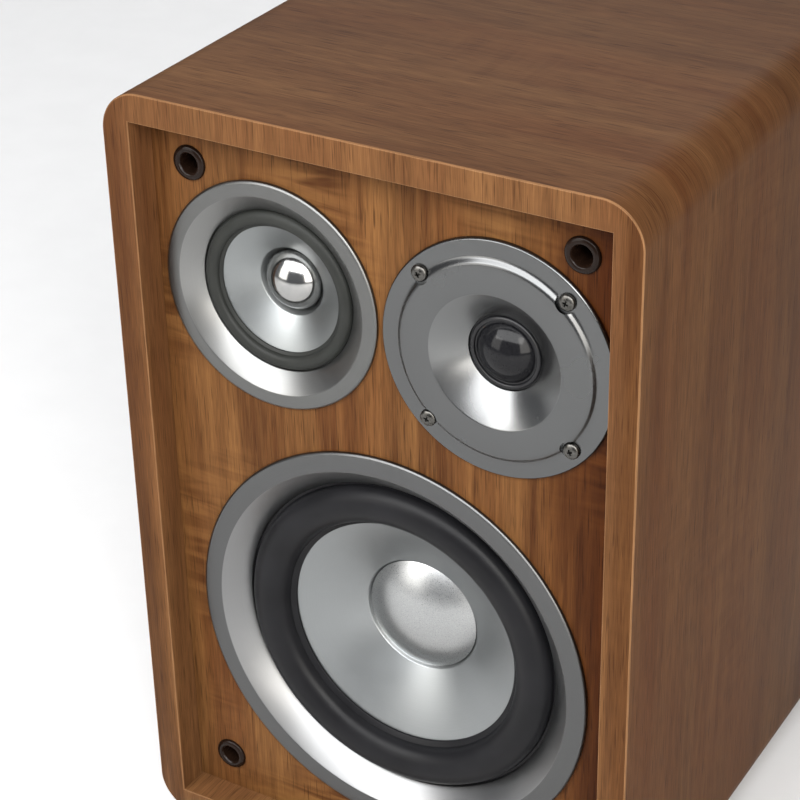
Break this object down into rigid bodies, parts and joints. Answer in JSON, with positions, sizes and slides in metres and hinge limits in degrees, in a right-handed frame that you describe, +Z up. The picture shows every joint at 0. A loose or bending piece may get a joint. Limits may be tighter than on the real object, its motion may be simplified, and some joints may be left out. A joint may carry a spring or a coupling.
{
  "type": "bookshelf speaker",
  "caption": "Veneered bookshelf loudspeaker with recessed baffle, woofer, midrange, dome tweeter, rear port and screw binding posts.",
  "frame": {"origin": "on the floor under the middle of the cabinet", "axes": "+Z up; the front baffle faces -Y; +X to the right of someone looking at the front"},
  "size_m": [0.225, 0.25, 0.3445],
  "materials": {
    "walnut_veneer": "satin lacquered veneer",
    "baffle_veneer": "satin lacquered veneer",
    "satin_silver": "satin, faintly brushed",
    "cone_aluminium": "satin spun",
    "chrome": "mirror",
    "black_rubber": "satin rubber",
    "grey_foam": "matt foam",
    "black_plastic": "fine texture",
    "back_vinyl": "black textured board",
    "brown_plastic": "semi-gloss moulded",
    "gloss_dome": "glossy film dome",
    "black_steel": "satin powder coat",
    "zinc_steel": "zinc plated",
    "ferrite": "matt sintered",
    "copper_winding": "enamelled wire",
    "nickel": "nickel plated",
    "gold_plate": "gold plated",
    "red_plastic": "translucent red cap",
    "spider_cloth": "resin dipped cloth",
    "circuit_board": "solder resist",
    "film_capacitor": "wrapped film",
    "ceramic": "cast ceramic",
    "wadding": "polyester wadding"
  },
  "bodies": {
    "root": {"cabinet_wrap": "walnut_veneer", "front_baffle": "baffle_veneer", "back_panel": "back_vinyl", "port_tube": "black_plastic", "terminal_cup": "black_plastic", "foot_front_left": "black_rubber", "foot_front_right": "black_rubber", "foot_rear_left": "black_rubber", "foot_rear_right": "black_rubber", "grille_socket_top_left": "brown_plastic", "grille_socket_top_right": "brown_plastic", "grille_socket_bottom_left": "brown_plastic", "grille_socket_bottom_right": "brown_plastic", "woofer_trim_ring": "satin_silver", "woofer_basket": "black_steel", "woofer_top_plate": "zinc_steel", "woofer_magnet": "ferrite", "woofer_yoke": "zinc_steel", "midrange_trim_ring": "satin_silver", "midrange_basket": "black_steel", "midrange_top_plate": "zinc_steel", "midrange_magnet": "ferrite", "midrange_yoke": "zinc_steel", "midrange_chamber": "black_plastic", "tweeter_faceplate": "satin_silver", "tweeter_top_plate": "zinc_steel", "tweeter_magnet": "ferrite", "tweeter_yoke": "zinc_steel", "tweeter_screw_1": "nickel", "tweeter_screw_2": "nickel", "tweeter_screw_3": "nickel", "tweeter_screw_4": "nickel", "red_post_stud": "gold_plate", "black_post_stud": "gold_plate", "crossover_board": "circuit_board", "woofer_coil": "copper_winding", "midrange_coil": "copper_winding", "woofer_capacitor": "film_capacitor", "tweeter_capacitor": "film_capacitor", "midrange_resistor": "ceramic", "wadding_pad": "wadding"},
    "woofer_moving_parts": {"woofer_cone": "cone_aluminium", "woofer_dust_cap": "cone_aluminium", "woofer_voice_coil": "copper_winding", "woofer_surround": "black_rubber", "woofer_spider": "spider_cloth"},
    "midrange_moving_parts": {"midrange_cone": "cone_aluminium", "midrange_dust_cap": "chrome", "midrange_voice_coil": "copper_winding", "midrange_surround": "grey_foam", "midrange_spider": "spider_cloth"},
    "tweeter_moving_parts": {"tweeter_dome": "gloss_dome", "tweeter_voice_coil": "copper_winding", "tweeter_surround": "black_rubber"},
    "red_washer": {"red_post_washer": "gold_plate"},
    "red_cap": {"red_post_cap": "red_plastic"},
    "black_washer": {"black_post_washer": "gold_plate"},
    "black_cap": {"black_post_cap": "black_plastic"}
  },
  "joints": [
    {"name": "woofer_excursion", "type": "slide", "parent": "root", "child": "woofer_moving_parts", "axis": [0, -1, 0], "range_m": [-0.005, 0.005], "stiffness_N_per_m": 1400, "deforming": ["woofer_surround", "woofer_spider"]},
    {"name": "midrange_excursion", "type": "slide", "parent": "root", "child": "midrange_moving_parts", "axis": [0, -1, 0], "range_m": [-0.0015, 0.0015], "stiffness_N_per_m": 2200, "deforming": ["midrange_surround", "midrange_spider"]},
    {"name": "tweeter_excursion", "type": "slide", "parent": "root", "child": "tweeter_moving_parts", "axis": [0, -1, 0], "range_m": [-0.0004, 0.0004], "stiffness_N_per_m": 4000, "deforming": ["tweeter_surround"]},
    {"name": "red_washer_travel", "type": "slide", "parent": "root", "child": "red_washer", "axis": [0, 1, 0], "range_m": [0, 0.0032]},
    {"name": "red_cap_turn", "type": "hinge", "parent": "red_washer", "child": "red_cap", "pos_m": [-0.015, 0.1002, 0.097], "axis": [0, 1, 0], "range_deg": [0, 1441]},
    {"name": "black_washer_travel", "type": "slide", "parent": "root", "child": "black_washer", "axis": [0, 1, 0], "range_m": [0, 0.0032]},
    {"name": "black_cap_turn", "type": "hinge", "parent": "black_washer", "child": "black_cap", "pos_m": [0.015, 0.1002, 0.097], "axis": [0, 1, 0], "range_deg": [0, 1441]}
  ],
  "couplings": [
    {"joint": "red_cap_turn", "follows": "red_washer_travel", "rad_per_m": 7854},
    {"joint": "black_cap_turn", "follows": "black_washer_travel", "rad_per_m": 7854}
  ]
}
